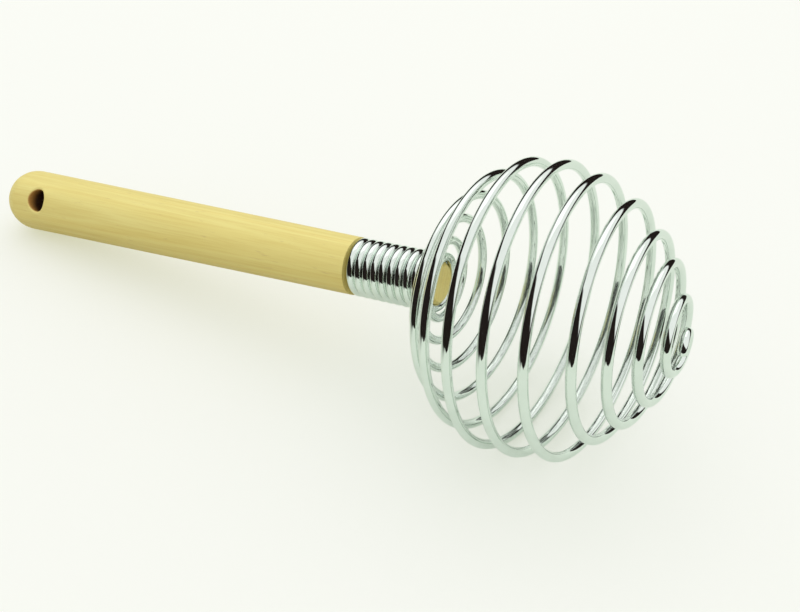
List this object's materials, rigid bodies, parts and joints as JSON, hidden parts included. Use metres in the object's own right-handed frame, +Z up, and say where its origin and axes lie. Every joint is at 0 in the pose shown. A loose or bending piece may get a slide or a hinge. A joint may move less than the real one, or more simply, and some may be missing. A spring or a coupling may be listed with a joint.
{
  "type": "spiral ball whisk",
  "caption": "Hand whisk: one springy chromed wire close-wound round a turned wooden handle's tenon, then coiled into an open ball with a small curl at its tip.",
  "frame": {"origin": "bottom centre of the whisk's box, on the surface it lies on", "axes": "+X along the whisk from the handle to the ball's tip, +Y across it, +Z up from the surface; the axis of the whisk rises 8.6 degrees towards the ball"},
  "size_m": [0.2338, 0.0764, 0.0764],
  "materials": {
    "beech": "pale waxed beech with fine straight grain",
    "chromed_wire": "bright chrome plating on round steel wire"
  },
  "bodies": {
    "grip": {"handle": "beech", "neck_coil": "chromed_wire", "throat_turn": "chromed_wire"},
    "turn_01": {"ball_turn_01": "chromed_wire"},
    "turn_02": {"ball_turn_02": "chromed_wire"},
    "turn_03": {"ball_turn_03": "chromed_wire"},
    "turn_04": {"ball_turn_04": "chromed_wire"},
    "turn_05": {"ball_turn_05": "chromed_wire"},
    "turn_06": {"ball_turn_06": "chromed_wire"},
    "turn_07": {"ball_turn_07": "chromed_wire"},
    "turn_08": {"ball_turn_08": "chromed_wire"},
    "turn_09": {"ball_turn_09": "chromed_wire"},
    "tip": {"ball_turn_10": "chromed_wire", "tip_curl": "chromed_wire"}
  },
  "joints": [
    {"name": "ball_sway_side", "type": "hinge", "parent": "grip", "child": "turn_01", "pos_m": [0.04926, 0.0018, 0.04679], "axis": [-0.1495, 0, 0.9888], "range_deg": [-10, 10], "stiffness_Nm_per_rad": 0.9},
    {"name": "ball_sway_up", "type": "hinge", "parent": "turn_01", "child": "turn_02", "pos_m": [0.05326, -0.0195, 0.03457], "axis": [0.0679, 0.9976, 0.0103], "range_deg": [-10, 10], "stiffness_Nm_per_rad": 0.9},
    {"name": "squeeze_1", "type": "slide", "parent": "turn_02", "child": "turn_03", "axis": [-0.9864, 0.0687, -0.1491], "range_m": [-0.00092, 0.00183]},
    {"name": "squeeze_2", "type": "slide", "parent": "turn_03", "child": "turn_04", "axis": [-0.9864, 0.0687, -0.1491], "range_m": [-0.00161, 0.00323]},
    {"name": "ball_squeeze", "type": "slide", "parent": "turn_04", "child": "turn_05", "axis": [-0.9864, 0.0687, -0.1491], "range_m": [-0.00212, 0.00424], "stiffness_N_per_m": 4266},
    {"name": "squeeze_4", "type": "slide", "parent": "turn_05", "child": "turn_06", "axis": [-0.9864, 0.0687, -0.1491], "range_m": [-0.00206, 0.00412]},
    {"name": "squeeze_5", "type": "slide", "parent": "turn_06", "child": "turn_07", "axis": [-0.9864, 0.0687, -0.1491], "range_m": [-0.0017, 0.0034]},
    {"name": "squeeze_6", "type": "slide", "parent": "turn_07", "child": "turn_08", "axis": [-0.9864, 0.0687, -0.1491], "range_m": [-0.00095, 0.00191]},
    {"name": "squeeze_7", "type": "slide", "parent": "turn_08", "child": "turn_09", "axis": [-0.9864, 0.0687, -0.1491], "range_m": [-0.00048, 0.00097]},
    {"name": "squeeze_8", "type": "slide", "parent": "turn_09", "child": "tip", "axis": [-0.9864, 0.0687, -0.1491], "range_m": [-0.000173, 0.000346]}
  ],
  "couplings": [
    {"joint": "squeeze_1", "follows": "ball_squeeze", "ratio": 0.43172},
    {"joint": "squeeze_2", "follows": "ball_squeeze", "ratio": 0.76066},
    {"joint": "squeeze_4", "follows": "ball_squeeze", "ratio": 0.9707},
    {"joint": "squeeze_5", "follows": "ball_squeeze", "ratio": 0.80062},
    {"joint": "squeeze_6", "follows": "ball_squeeze", "ratio": 0.44973},
    {"joint": "squeeze_7", "follows": "ball_squeeze", "ratio": 0.22779},
    {"joint": "squeeze_8", "follows": "ball_squeeze", "ratio": 0.08155}
  ]
}
